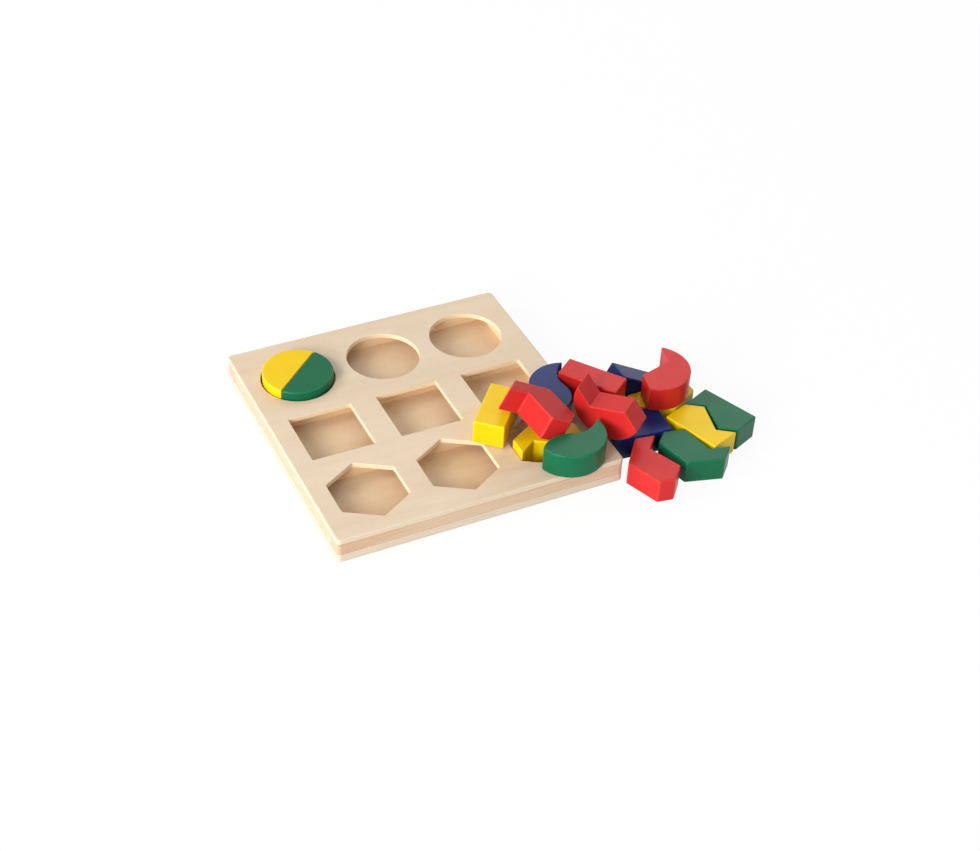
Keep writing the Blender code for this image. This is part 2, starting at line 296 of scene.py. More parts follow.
@dataclass(frozen=True)
class PlywoodFinish:
    """Clear-finished plywood: a quiet face veneer, and bands of plies round the edges."""

    name: str
    slot: str
    pale: Colour
    warm: Colour
    fibre: Colour
    ply_pale: Colour
    ply_dark: Colour
    # The colour of the walls inside the board: brighter and warmer than the outer plies, a painted glow of
    # bounced light
    painted_inner_glow: Colour
    bottom: float
    ply: float
    run: GrainRun = GrainRun.ALONG_FRONT
    ring_rate: float = 420.0
    ring_bend: float = 30.0
    ply_sway: float = 0.6 * MM
    relief: float = 0.25 * MM

    def face(self, sheet: NodeSheet, place: Wire) -> tuple[Wire, Wire]:
        """Draw the face veneer.

        Args:
            sheet: the sheet that it is drawn on.
            place: the place on the object.

        Returns:
            Its colour, and the height of its fibres.
        """
        turn = self.run.value
        tone = sheet.cloudy(place, Cloud((5, 34, 34), 3.0, 0.6), turn)
        cloud = sheet.cloudy(place, Cloud((9, 14, 14), shift=(3.1, 1.7, 0)), turn)
        fibres = sheet.cloudy(place, Cloud((26, 760, 760), 3.0), turn)
        pores = sheet.cloudy(place, Cloud((150, 2300, 2300), 1.0), turn).ramp(0.6, 0.74)
        bend = sheet.cloudy(place, Cloud((4, 11, 11), shift=(0.4, 2.6, 0)), turn)
        across = sheet.stretch(place, (1, 1, 1), turn).part("Y")
        line = (across * self.ring_rate + bend * self.ring_bend).sine().ramp(0.7, 1.0)
        colour = sheet.mix(tone.ramp(0.3, 0.75), self.pale, self.warm)
        colour = sheet.mix(cloud.ramp(0.52, 0.78) * 0.16, colour, self.fibre)
        colour = sheet.mix(line * tone.ramp(0.45, 0.7) * 0.10, colour, self.fibre)
        colour = sheet.mix(fibres.ramp(0.5, 0.8) * 0.13, colour, self.fibre)
        colour = sheet.mix(pores * 0.2, colour, self.fibre)
        return colour, fibres * 0.6 - pores * 0.5

    def edge(self, sheet: NodeSheet, place: Wire) -> tuple[Wire, Wire]:
        """Draw the plies round the edge.

        Args:
            sheet: the sheet that they are drawn on.
            place: the place on the object.

        Returns:
            Their colour, and the height of their fibres.
        """
        sway = sheet.cloudy(place, Cloud((11, 11, 11)))
        level = (place.part("Z") - self.bottom + (sway - 0.5) * self.ply_sway) / self.ply
        crossed = (level * 0.5).fraction().over(0.5)
        joint = abs(level.fraction() - 0.5).ramp(0.4, 0.49)
        pores = sheet.cloudy(place, Cloud((1500, 1500, 1500)))
        long_grain = sheet.cloudy(place, Cloud((40, 40, 1500)))
        patch = sheet.cloudy(place, Cloud((17, 17, 60), 3.0, shift=(0.3, 0.9, 0)))
        colour = sheet.mix(crossed * 0.5, self.ply_pale, self.ply_dark)
        colour = sheet.mix(patch.ramp(0.5, 0.75) * 0.4, colour, self.ply_dark)
        colour = sheet.mix(pores.ramp(0.5, 0.75) * crossed * 0.2, colour, self.fibre)
        colour = sheet.mix(long_grain.ramp(0.52, 0.8) * 0.16, colour, self.fibre)
        colour = sheet.mix(joint * 0.13, colour, self.fibre)
        # Walls inside the board take the painted glow of bounced light: brighter, warmer wood
        colour = sheet.mix(sheet.inside(place, OUTER_REACH) * 0.75, colour, self.painted_inner_glow)
        return colour, long_grain * 0.5 - joint * 0.6 - pores * 0.3

    def material(self) -> bpy.types.Material:
        """Draw the finish on a sheet of its own.

        Returns:
            The finished material.
        """
        sheet = NodeSheet.of_material(self.name)
        place = sheet.place()
        side = 1.0 - abs(sheet.facing().part("Z")).ramp(0.35, 0.8)
        face_colour, face_height = self.face(sheet, place)
        edge_colour, edge_height = self.edge(sheet, place)
        height = face_height * (1.0 - side) + edge_height * side
        handled = sheet.noise(place, 30.0, 3.0)
        return sheet.finish({
            "Base Color": sheet.mix(side, face_colour, edge_colour),
            "Roughness": 0.42 + handled * 0.14 + side * 0.12,
            "Normal": sheet.bump(height, self.relief, 0.35),
            "Specular IOR Level": 0.35,
        })


@dataclass(frozen=True)
class BarFinish:
    """Solid wood of the bars between the plates, with end grain where a bar is cut off."""

    name: str
    slot: str
    pale: Colour
    warm: Colour
    fibre: Colour
    # The colour of the bar walls inside the board: brighter and warmer than outside, a painted glow of
    # bounced light
    painted_inner_glow: Colour
    run: GrainRun
    # How far below the seam the darker patches begin, and where they reach full strength
    darkening_foot: float = 1.3 * MM
    darkening_full: float = 0.5 * MM
    relief: float = 0.3 * MM

    def material(self) -> bpy.types.Material:
        """Draw the finish on a sheet of its own.

        Returns:
            The finished material.
        """
        sheet = NodeSheet.of_material(self.name)
        place = sheet.place()
        turn = self.run.value
        tone = sheet.cloudy(place, Cloud((7, 60, 130), 3.0, 0.4), turn)
        fibres = sheet.cloudy(place, Cloud((30, 620, 900), 3.0), turn)
        streak = sheet.cloudy(place, Cloud((9, 90, 240), shift=(1.3, 0, 0.4)), turn).ramp(0.6, 0.7)
        rings = sheet.cloudy(place, Cloud((0, 70, 330), 1.0), turn).ramp(0.42, 0.62)
        pores = sheet.cloudy(place, Cloud((1400, 1400, 1400))).ramp(0.5, 0.75)
        sideways = "X" if self.run is GrainRun.ALONG_FRONT else "Y"
        end = abs(sheet.facing().part(sideways)).ramp(0.7, 0.9)
        long_colour = sheet.mix(tone.ramp(0.3, 0.72), self.pale, self.warm)
        long_colour = sheet.mix(streak * 0.3, long_colour, self.fibre)
        long_colour = sheet.mix(fibres.ramp(0.48, 0.78) * 0.3, long_colour, self.fibre)
        # Patches of darker wood just below the seam with the top plate
        seam_patches = sheet.cloudy(place, Cloud((16, 3, 3), 3.0, shift=(0.2, 0, 0)), turn).ramp(0.40, 0.52)
        seam = place.part("Z").ramp(SEAM_LEVEL - self.darkening_foot, SEAM_LEVEL - self.darkening_full)
        long_colour = sheet.mix(seam * seam_patches * 0.6, long_colour, self.fibre)
        # Bar walls inside the board take the painted glow of bounced light: brighter, warmer wood
        long_colour = sheet.mix(sheet.inside(place, OUTER_REACH) * 0.7, long_colour, self.painted_inner_glow)
        end_colour = sheet.mix(rings * 0.22, self.pale, self.fibre)
        end_colour = sheet.mix(pores * 0.22, end_colour, self.fibre)
        return sheet.finish({
            "Base Color": sheet.mix(end, long_colour, end_colour),
            "Roughness": 0.5 + fibres * 0.15,
            "Normal": sheet.bump(fibres * 0.7 - pores * end, self.relief, 0.4),
            "Specular IOR Level": 0.3,
        })


@dataclass(frozen=True)
class PaintFinish:
    """Satin paint over wood, with a painted highlight on the eased edges, stronger in rubbed patches that
    are also rougher and dented.
    """

    name: str
    slot: str
    colour: Colour
    deep: Colour
    # A lighter tint of the paint for the eased edges: a painted highlight
    edge_highlight: Colour
    roughness: float = 0.3
    relief: float = 0.18 * MM
    scuff_turn: float = 0.6

    def material(self) -> bpy.types.Material:
        """Draw the finish on a sheet of its own.

        Returns:
            The finished material.
        """
        sheet = NodeSheet.of_material(self.name)
        place = sheet.stored(PLACE_ON_BLOCK, "Vector")
        edge = sheet.stored(EASED_EDGE, "Fac")
        cloud = sheet.noise(place, 38.0, 3.0, 0.3)
        grain = sheet.cloudy(place, Cloud((620, 24, 620), 3.0))
        peel = sheet.noise(place, 750.0, 2.0)
        rub_and_highlight = sheet.noise(place, 190.0, 4.0).ramp(0.5, 0.68)
        scuff = sheet.cloudy(place, Cloud((90, 900, 300)), self.scuff_turn).ramp(0.66, 0.74)
        colour = sheet.mix(cloud.ramp(0.35, 0.75) * 0.5, self.colour, self.deep)
        colour = sheet.mix(grain.ramp(0.5, 0.8) * 0.22, colour, self.deep)
        # The eased edges are painted lighter, a painted highlight, stronger in the rubbed patches
        colour = sheet.mix(edge * (0.28 + rub_and_highlight * 0.4), colour, self.edge_highlight)
        height = grain * 0.45 + peel * 0.35 - edge * rub_and_highlight * 0.4
        return sheet.finish({
            "Base Color": colour,
            "Roughness": self.roughness + cloud * 0.08 + scuff * 0.12 + edge * rub_and_highlight * 0.12,
            "Normal": sheet.bump(height, self.relief, 0.3),
            "Specular IOR Level": 0.17,
        })


Finish = Union[PlywoodFinish, BarFinish, PaintFinish]

TOP_PLYWOOD = PlywoodFinish(
    "top_plywood", "top_plywood", pale=(0.70, 0.57, 0.42), warm=(0.67, 0.52, 0.36),
    fibre=(0.52, 0.33, 0.19), ply_pale=(0.675, 0.572, 0.445), ply_dark=(0.62, 0.49, 0.345),
    painted_inner_glow=(0.92, 0.70, 0.45), bottom=SEAM_LEVEL, ply=1.5 * MM)
# The base's face veneer, seen as the floors of the openings, is painted warmer and more orange than the
# top's, as painted shade in the openings
BASE_PLYWOOD = PlywoodFinish(
    "base_plywood", "base_plywood", pale=(0.73, 0.545, 0.355), warm=(0.70, 0.47, 0.275),
    fibre=(0.52, 0.30, 0.14), ply_pale=(0.665, 0.57, 0.455), ply_dark=(0.62, 0.49, 0.355),
    painted_inner_glow=(0.75, 0.55, 0.35), bottom=0.0, ply=1.8 * MM)
# The bars along the side are painted paler and less warm than those along the front, as painted light on
# the lit left side of the board; the two also differ in the run of their grain
FRONT_BAR = BarFinish(
    "rail_wood_along_front", "rail_wood", pale=(0.605, 0.45, 0.31), warm=(0.58, 0.375, 0.235),
    fibre=(0.45, 0.24, 0.115), painted_inner_glow=(0.92, 0.67, 0.40), run=GrainRun.ALONG_FRONT)
SIDE_BAR = BarFinish(
    "rail_wood_along_side", "rail_wood", pale=(0.60, 0.49, 0.35), warm=(0.57, 0.44, 0.295),
    fibre=(0.47, 0.30, 0.16), painted_inner_glow=(0.92, 0.67, 0.40), run=GrainRun.ALONG_SIDE)
YELLOW = PaintFinish(
    "yellow_paint", "yellow_paint", (0.80, 0.545, 0.003), (0.75, 0.48, 0.002), (0.90, 0.66, 0.03))
GREEN = PaintFinish(
    "green_paint", "green_paint", (0.004, 0.120, 0.050), (0.003, 0.10, 0.040), (0.02, 0.20, 0.10))
RED = PaintFinish(
    "red_paint", "red_paint", (0.575, 0.021, 0.019), (0.50, 0.014, 0.013), (0.72, 0.06, 0.05))
BLUE = PaintFinish(
    "blue_paint", "blue_paint", (0.010, 0.023, 0.135), (0.007, 0.015, 0.10), (0.03, 0.06, 0.24))


# Workbench: the operators that every piece is modelled with


class Bench:
    """Modelling steps, each on the one object that is being worked."""

    SMOOTH_ANGLE = math.radians(35)
    FACE_WEIGHT = 100

    @staticmethod
    def clear() -> None:
        """Deselect everything."""
        bpy.ops.object.select_all(action="DESELECT")

    @classmethod
    def choose(cls, piece: bpy.types.Object) -> None:
        """Select one piece alone and make it the active one.

        Args:
            piece: the piece to work on.
        """
        cls.clear()
        piece.select_set(True)
        bpy.context.view_layer.objects.active = piece

    @staticmethod
    def settle() -> None:
        """Move the place, turn and scale of the selected object into its mesh."""
        bpy.ops.object.transform_apply(location=True, rotation=True, scale=True)

    @classmethod
    def take(cls, name: str) -> bpy.types.Object:
        """Name the object that an operator has just added, with its place in its mesh.

        Args:
            name: its name, and its mesh's.

        Returns:
            The object.
        """
        piece = bpy.context.object
        piece.name = name
        piece.data.name = name
        cls.settle()
        return piece

    @classmethod
    def slab(cls, name: str, low: Sequence[float], high: Sequence[float]) -> bpy.types.Object:
        """Add a slab.

        Args:
            name: its name.
            low: its lower corner.
            high: the corner across from it.

        Returns:
            The slab.
        """
        cls.clear()
        size = [b - a for a, b in zip(low, high)]
        middle = [(a + b) / 2 for a, b in zip(low, high)]
        bpy.ops.mesh.primitive_cube_add(size=1, location=middle, scale=size)
        return cls.take(name)

    @classmethod
    def prism(cls, name: str, sides: int, radius: float, low: float, high: float,
              middle: Point = (0, 0), turn: float = 0.0) -> bpy.types.Object:
        """Add an upright prism with its corners on a circle.

        Args:
            name: its name.
            sides: how many sides it has.
            radius: the circle's radius.
            low: the level of its lower end.
            high: the level of its upper end.
            middle: its middle, from above.
            turn: its turn about the vertical.

        Returns:
            The prism.
        """
        cls.clear()
        place = (middle[0], middle[1], (low + high) / 2)
        bpy.ops.mesh.primitive_cylinder_add(
            vertices=sides, radius=radius, depth=high - low, location=place, rotation=(0, 0, turn))
        return cls.take(name)

    @staticmethod
    def pick(piece: bpy.types.Object, kind: str, test: Callable[..., bool]) -> None:
        """Select the edges or faces that pass a test, with the piece in edit mode.

        Args:
            piece: the piece that is being edited.
            kind: EDGE or FACE.
            test: takes a bmesh edge or face and says whether it is wanted.
        """
        bpy.ops.mesh.select_mode(type=kind)
        bpy.ops.mesh.select_all(action="DESELECT")
        mesh = bmesh.from_edit_mesh(piece.data)
        for item in mesh.edges if kind == "EDGE" else mesh.faces:
            item.select_set(bool(test(item)))
        mesh.select_flush_mode()
        bmesh.update_edit_mesh(piece.data)

    @classmethod
    def round_edges(cls, piece: bpy.types.Object, radius: float, segments: int,
                    test: Callable[..., bool]) -> None:
        """Round the edges that pass a test.

        Args:
            piece: the piece that they are on.
            radius: the round's width.
            segments: the steps across it.
            test: takes a bmesh edge and says whether it is wanted.
        """
        bpy.ops.object.mode_set(mode="EDIT")
        cls.pick(piece, "EDGE", test)
        bpy.ops.mesh.bevel(offset=radius, segments=segments, affect="EDGES", clamp_overlap=True)
        bpy.ops.object.mode_set(mode="OBJECT")

    @classmethod
    def apply(cls, piece: bpy.types.Object, kind: str, settings: dict) -> None:
        """Add a modifier and apply it.

        Args:
            piece: the piece that it works on.
            kind: the modifier's type.
            settings: its settings by name.
        """
        modifier = piece.modifiers.new(kind.lower(), kind)
        for key, value in settings.items():
            setattr(modifier, key, value)
        cls.choose(piece)
        bpy.ops.object.modifier_apply(modifier=modifier.name)

    @classmethod
    def cut_away(cls, piece: bpy.types.Object, cutter: bpy.types.Object) -> None:
        """Take a cutter's shape out of a piece, and remove the cutter."""
        cls.apply(piece, "BOOLEAN", {"operation": "DIFFERENCE", "solver": "EXACT", "object": cutter})
        bpy.data.meshes.remove(cutter.data, do_unlink=True)

    @classmethod
    def smooth(cls, piece: bpy.types.Object) -> None:
        """Shade the rounds smooth and keep the broad faces flat.

        Args:
            piece: the piece to shade.
        """
        cls.choose(piece)
        bpy.ops.object.shade_smooth_by_angle(angle=cls.SMOOTH_ANGLE)
        settings = {"mode": "FACE_AREA", "weight": cls.FACE_WEIGHT, "keep_sharp": True}
        cls.apply(piece, "WEIGHTED_NORMAL", settings)

    @staticmethod
    def deliver(piece: bpy.types.Object, finish: Finish, body: str, node: str) -> None:
        """Dress a finished piece, put it on its body and let it stand for its node.

        Args:
            piece: the finished piece.
            finish: what it is made of.
            body: the body that carries it.
            node: the node that it stands for.
        """
        piece.data.materials.clear()
        piece.data.materials.append(finish.material())
        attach(piece, body)
        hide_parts(node)
        LOG.info("%s: %d faces", piece.name, len(piece.data.polygons))


# How near to straight up a direction's Z part has to be to count as upright
UPRIGHT = 0.99


def upright(edge: bmesh.types.BMEdge) -> bool:
    """Say whether an edge stands upright."""
    return abs((edge.verts[0].co - edge.verts[1].co).normalized().z) > UPRIGHT


def looks_up(face: bmesh.types.BMFace) -> bool:
    """Say whether a face looks up."""
    return face.normal.z > UPRIGHT


# The board


class Shape(Enum):
    """The three shapes of openings and blocks."""

    CIRCLE = "circle"
    SQUARE = "square"
    HEXAGON = "hexagon"


@dataclass
class Board:
    """The plywood tray: a base, a top with nine openings, and bars between them."""

    length: float = 280 * MM
    width: float = 280 * MM
    base: float = 9 * MM
    bar: float = 11.9 * MM
    top: float = 4.5 * MM
    joint: float = 0.3 * MM  # between neighbours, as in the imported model
    glue: float = 0.02 * MM  # what the pieces show of a joint
    corner: float = 4 * MM
    corner_steps: int = 8
    edge: float = 1.6 * MM
    edge_steps: int = 5
    setback: float = 0.15 * MM  # of the bars from the plates' outer sides
    column_pitch: float = 87.3 * MM
    row_pitch: float = 85.3 * MM
    offset: Point = (-2.2 * MM, -2.2 * MM)  # of the middle opening from the board's middle
    channel: float = 38.2 * MM  # from an opening's middle to the bars beside it
    circle: float = 35.15 * MM
    circle_sides: int = 128
    square: float = 30.7 * MM
    hexagon: float = 37.5 * MM
    opening_corner: float = 1.2 * MM
    rim: float = 0.7 * MM
    rim_steps: int = 5
    eased: float = 0.2 * MM
    eased_steps: int = 2
    same_level: float = 1e-6
    body: str = "board"
    top_bottom: float = field(init=False)
    bar_bottom: float = field(init=False)
    bar_top: float = field(init=False)
    height: float = field(init=False)
    columns: list[float] = field(init=False)
    rows: dict[Shape, float] = field(init=False)

    def __post_init__(self) -> None:
        """Work out the levels and the middles of the openings."""
        self.top_bottom = self.base + self.bar + 2 * self.joint
        self.bar_bottom = self.base + self.glue
        self.bar_top = self.top_bottom - self.glue
        self.height = self.top_bottom + self.top
        self.columns = [self.offset[0] + step * self.column_pitch for step in (-1, 0, 1)]
        self.rows = {
            Shape.CIRCLE: self.offset[1] + self.row_pitch,
            Shape.SQUARE: self.offset[1],
            Shape.HEXAGON: self.offset[1] - self.row_pitch,
        }

    def opening_cutter(self, shape: Shape, middle: Point) -> bpy.types.Object:
        """Make a cutter for one opening, flared at its mouth to round the rim.

        Args:
            shape: the opening's shape.
            middle: its middle, from above.

        Returns:
            The cutter.
        """
        low = self.bar_top
        high = self.height - self.rim
        if shape is Shape.CIRCLE:
            cutter = Bench.prism("cutter", self.circle_sides, self.circle, low, high, middle)
            reach = self.circle
        elif shape is Shape.SQUARE:
            corners = [(middle[0] + sign * self.square, middle[1] + sign * self.square) for sign in (-1, 1)]
            cutter = Bench.slab("cutter", (*corners[0], low), (*corners[1], high))
            reach = self.square
        else:
            cutter = Bench.prism("cutter", HEXAGON_SIDES, self.hexagon, low, high, middle)
            reach = self.hexagon * math.cos(HALF_SIDE_ANGLE)
        if shape is not Shape.CIRCLE:
            Bench.round_edges(cutter, self.opening_corner, self.edge_steps, upright)
        bpy.ops.object.mode_set(mode="EDIT")
        Bench.pick(cutter, "FACE", looks_up)
        level, grown = high, 0.0
        for step in range(1, self.rim_steps + 1):
            turn = math.radians(90) * step / self.rim_steps
            next_level = high + self.rim * math.sin(turn)
            next_grown = self.rim * (1 - math.cos(turn))
            self.flare(next_level - level, (reach + next_grown) / (reach + grown), middle)
            level, grown = next_level, next_grown
        self.flare(self.rim, 1.0, middle)
        bpy.ops.object.mode_set(mode="OBJECT")
        return cutter

    @staticmethod
    def flare(rise: float, scale: float, middle: Point) -> None:
        """Extrude the selected mouth upwards and widen it about its middle."""
        bpy.ops.mesh.extrude_region_move(TRANSFORM_OT_translate={"value": (0, 0, rise)})
        bpy.ops.transform.resize(value=(scale, scale, 1), center_override=(*middle, 0))

    def plate(self, name: str, low: float, high: float, open_level: float) -> bpy.types.Object:
        """Make a plate with rounded corners, and a rounded outer edge on its open side.

        Args:
            name: its name.
            low: the level of its underside.
            high: the level of its top.
            open_level: the one of the two that no other piece covers.

        Returns:
            The plate.
        """
        def is_open(edge: bmesh.types.BMEdge) -> bool:
            """Say whether an edge lies on the open side."""
            return all(abs(vertex.co.z - open_level) < self.same_level for vertex in edge.verts)

        half = (self.length / 2, self.width / 2)
        plate = Bench.slab(name, (-half[0], -half[1], low), (half[0], half[1], high))
        Bench.round_edges(plate, self.corner, self.corner_steps, upright)
        Bench.round_edges(plate, self.edge, self.edge_steps, is_open)
        return plate

    def build_base(self) -> None:
        """Build the base plate."""
        plate = self.plate("plywood_base", 0.0, self.base, 0.0)
        Bench.smooth(plate)
        Bench.deliver(plate, BASE_PLYWOOD, self.body, "base_plate")

    def build_top(self) -> None:
        """Build the top plate and cut its nine openings."""
        plate = self.plate("plywood_top", self.top_bottom, self.height, self.height)
        for shape, row in self.rows.items():
            for column in self.columns:
                Bench.cut_away(plate, self.opening_cutter(shape, (column, row)))
        Bench.smooth(plate)
        Bench.deliver(plate, TOP_PLYWOOD, self.body, "top_plate")

    def build_bar(self, name: str, node: str, low: Point, high: Point, finish: BarFinish,
                  outer: int = 0) -> None:
        """Build one bar between the plates.

        Args:
            name: the piece's name.
            node: the node that it stands for.
            low: its lower left corner, from above.
            high: its upper right corner.
            finish: the wood that it is made of.
            outer: -1 or 1 where its near or far corners are corners of the board, else 0.
        """
        def at_corner(edge: bmesh.types.BMEdge) -> bool:
            """Say whether an edge stands at a corner of the board."""
            return upright(edge) and edge.verts[0].co.y * outer > self.width / 2 - self.corner

        bar = Bench.slab(name, (*low, self.bar_bottom), (*high, self.bar_top))
        if outer:
            Bench.round_edges(bar, self.corner - self.setback, self.corner_steps, at_corner)
        settings = {"width": self.eased, "segments": self.eased_steps, "limit_method": "ANGLE"}
        Bench.apply(bar, "BEVEL", settings)
        Bench.smooth(bar)
        Bench.deliver(bar, finish, self.body, node)

    def build_bars(self) -> None:
        """Build the four rails round the board and the two dividers between the rows."""
        half_x = self.length / 2 - self.setback
        half_y = self.width / 2 - self.setback
        left = self.columns[0] - self.channel
        right = self.columns[2] + self.channel
        far = self.rows[Shape.CIRCLE] + self.channel
        near = self.rows[Shape.HEXAGON] - self.channel
        self.build_bar("bar_back", "rail_back", (-half_x, far), (half_x, half_y), FRONT_BAR, 1)
        self.build_bar("bar_front", "rail_front", (-half_x, -half_y), (half_x, near), FRONT_BAR, -1)
        low, high = near + self.joint, far - self.joint
        self.build_bar("bar_left", "rail_left", (-half_x, low), (left, high), SIDE_BAR)
        self.build_bar("bar_right", "rail_right", (right, low), (half_x, high), SIDE_BAR)
        rows = (("back", Shape.CIRCLE, Shape.SQUARE), ("front", Shape.SQUARE, Shape.HEXAGON))
        for side, upper, lower in rows:
            low_corner = (left + self.joint, self.rows[lower] + self.channel)
            high_corner = (right - self.joint, self.rows[upper] - self.channel)
            self.build_bar(f"bar_between_{side}", f"divider_{side}", low_corner, high_corner, FRONT_BAR)

    def build(self) -> None:
        """Build the whole board."""
        self.build_base()
        self.build_bars()
        self.build_top()


# The blocks


class Cut(Enum):
    """The three ways that a shape is sawn in two."""

    STRAIGHT = "straight"
    ZIGZAG = "zigzag"
    WAVE = "wave"


def turned(degrees: float, axis: Union[str, Vector]) -> Matrix:
    """Return a rotation about an axis."""
    return Matrix.Rotation(math.radians(degrees), 3, axis)


@dataclass(frozen=True)
class Pose:
    """How a block lies: its middle from above, the level under it and its turns in degrees."""

    middle: Point
    support: float
    turn: float = 0.0
    roll: Optional[float] = None  # set where the block stands on its side
    tilt: float = 0.0  # how far it leans
    towards: float = 0.0  # the direction that its top leans in, from +X

    def rotation(self) -> Matrix:
        """Combine the turns.

        Returns:
            The block's rotation.
        """
        if self.roll is not None:
            return turned(self.turn, "Z") @ (turned(90, "X") @ turned(self.roll, "Z"))
        across = math.radians(self.towards + 90)
        axis = Vector((math.cos(across), math.sin(across), 0))
        return turned(self.tilt, axis) @ turned(self.turn, "Z")


@dataclass
class HalfBlock:
    """One half of a circle, square or hexagon, painted and loose."""

    paint: PaintFinish
    shape: Shape
    cut: Cut
    pose: Pose
    node: str
    turned_over: bool = False
    thickness: float = 25 * MM
    circle: float = 33.65 * MM
    square: float = 29.75 * MM
    hexagon_flat: float = Board.hexagon * math.cos(HALF_SIDE_ANGLE) - 0.9 * MM
    saw: float = 0.5 * MM
    edge: float = 1.4 * MM
    edge_steps: int = 4
    edge_angle: float = math.radians(25)
    zigzag: Point = (9.2 * MM, 14.5 * MM)
    zigzag_end: float = 2 * MM
    wave: float = 6 * MM
    wave_steps: int = 8
    overrun: float = 20 * MM  # of a zigzag's saw line past the rims
    rim_sides: int = 60
    rim_turn: float = math.radians(0.41)

    def reach(self, x: float) -> float:
        """Work out how far the whole shape reaches away from its middle.

        Args:
            x: the distance to the side at which this is asked.

        Returns:
            The reach.
        """
        if self.shape is Shape.CIRCLE:
            return math.sqrt(self.circle ** 2 - x ** 2)
        return self.square if self.shape is Shape.SQUARE else self.hexagon_flat

    def zigzag_line(self) -> list[Vector]:
        """Draw a zigzag cut: two bends, and an end past each rim.

        Returns:
            The points of its line.
        """
        end = self.zigzag_end
        far, bend = Vector((-end, self.reach(end))), Vector(self.zigzag)
        start = far + (far - bend).normalized() * self.overrun
        return [start, bend, -bend, -start]

    def wave_line(self) -> list[Vector]:
        """Draw a wave cut: a bump and a hollow, both arcs, and one step past each rim.

        Returns:
            The points of its line.
        """
        quarter = self.reach(0) / 2
        radius = (quarter ** 2 + self.wave ** 2) / (2 * self.wave)
        sweep = math.asin(quarter / radius)
        centre = Vector((self.wave - radius, quarter))
        steps = self.wave_steps
        turns = [sweep - 2 * sweep * step / steps for step in range(-1, steps + 1)]
        bump = [centre + radius * Vector((math.cos(turn), math.sin(turn))) for turn in turns]
        hollow = [-point for point in reversed(bump)]
        return [*bump, *hollow[1:]]

    def straight_line(self) -> list[Vector]:
        """Return the two ends of a straight cut, well past the rims."""
        far = Vector((0, 2 * self.reach(0)))
        return [far, -far]

    def saw_line(self) -> list[Vector]:
        """Draw the side of the saw's cut that faces this half.

        Returns:
            Its points, from the far rim to the near one.
        """
        lines = {Cut.ZIGZAG: self.zigzag_line, Cut.WAVE: self.wave_line, Cut.STRAIGHT: self.straight_line}
        side = -1 if self.turned_over else 1
        line = [Vector((point.x - self.saw / 2, side * point.y)) for point in lines[self.cut]()]
        return line[::side]

    def whole_shape(self) -> bpy.types.Object:
        """Make the whole circle, square or hexagon.

        Returns:
            The shape before it is sawn.
        """
        name = self.node + "_block"
        half = self.thickness / 2
        if self.shape is Shape.CIRCLE:
            turn = -self.rim_turn if self.turned_over else self.rim_turn
            return Bench.prism(name, self.rim_sides, self.circle, -half, half, turn=turn)
        if self.shape is Shape.SQUARE:
            reach = self.square
            return Bench.slab(name, (-reach, -reach, -half), (reach, reach, half))
        radius = self.hexagon_flat / math.cos(HALF_SIDE_ANGLE)
        return Bench.prism(name, HEXAGON_SIDES, radius, -half, half, turn=HALF_SIDE_ANGLE)

    def waste(self) -> bpy.types.Object:
        """Make the solid that the saw takes away, drawn along the line and pulled out.

        Returns:
            The solid.
        """
        line = self.saw_line()
        Bench.clear()
        bpy.ops.mesh.primitive_plane_add(size=MM, location=(*line[0], -self.thickness))
        waste = Bench.take("waste")
        bpy.ops.object.mode_set(mode="EDIT")
        bpy.ops.mesh.select_mode(type="VERT")
        bpy.ops.mesh.select_all(action="SELECT")
        bpy.ops.mesh.merge(type="CENTER")
        for before, after in zip(line, line[1:]):
            self.pull((after.x - before.x, after.y - before.y, 0))
        past_block = ((3 * self.circle, 0, 0), (0, 0, 2 * self.thickness))
        for step in past_block:
            bpy.ops.mesh.select_all(action="SELECT")
            self.pull(step)
        bpy.ops.mesh.select_all(action="SELECT")
        bpy.ops.mesh.normals_make_consistent(inside=False)
        bpy.ops.object.mode_set(mode="OBJECT")
        return waste

    @staticmethod
    def pull(step: Sequence[float]) -> None:
        """Extrude what is selected by one step."""
        bpy.ops.mesh.extrude_region_move(TRANSFORM_OT_translate={"value": step})

    def note_surface(self, piece: bpy.types.Object) -> None:
        """Store each point's place on the block, and which faces are the eased edges.

        Args:
            piece: the block, with its eased edges marked by their material slot.
        """
        mesh = piece.data
        place = mesh.attributes.new(PLACE_ON_BLOCK, "FLOAT_VECTOR", "POINT")
        shift = Vector((share_of(self.node), share_of(self.node[::-1]), 0))
        for vertex, stored in zip(mesh.vertices, place.data):
            stored.vector = vertex.co + shift
        eased = mesh.attributes.new(EASED_EDGE, "FLOAT", "FACE")
        for face, stored in zip(mesh.polygons, eased.data):
            stored.value = float(face.material_index == EASED_SLOT)
            face.material_index = 0

    def build(self) -> None:
        """Build the block, ease its edges and lay it in its place."""
        piece = self.whole_shape()
        Bench.cut_away(piece, self.waste())
        rotation = self.pose.rotation()
        lowest = min((rotation @ vertex.co).z for vertex in piece.data.vertices)
        for _ in range(EASED_SLOT + 1):
            piece.data.materials.append(None)
        Bench.apply(piece, "BEVEL", {
            "width": self.edge, "segments": self.edge_steps, "limit_method": "ANGLE",
            "angle_limit": self.edge_angle, "material": EASED_SLOT})
        self.note_surface(piece)
        Bench.smooth(piece)
        place = Vector((*self.pose.middle, self.pose.support - lowest))
        piece.matrix_world = Matrix.Translation(place) @ rotation.to_4x4()
        Bench.choose(piece)
        Bench.settle()
        Bench.deliver(piece, self.paint, self.node, self.node)


def share_of(name: str, steps: int = 97) -> float:
    """Return a steady number between 0 and 1 for a name."""
    return sum((index + 1) * ord(letter) for index, letter in enumerate(name)) % steps / steps


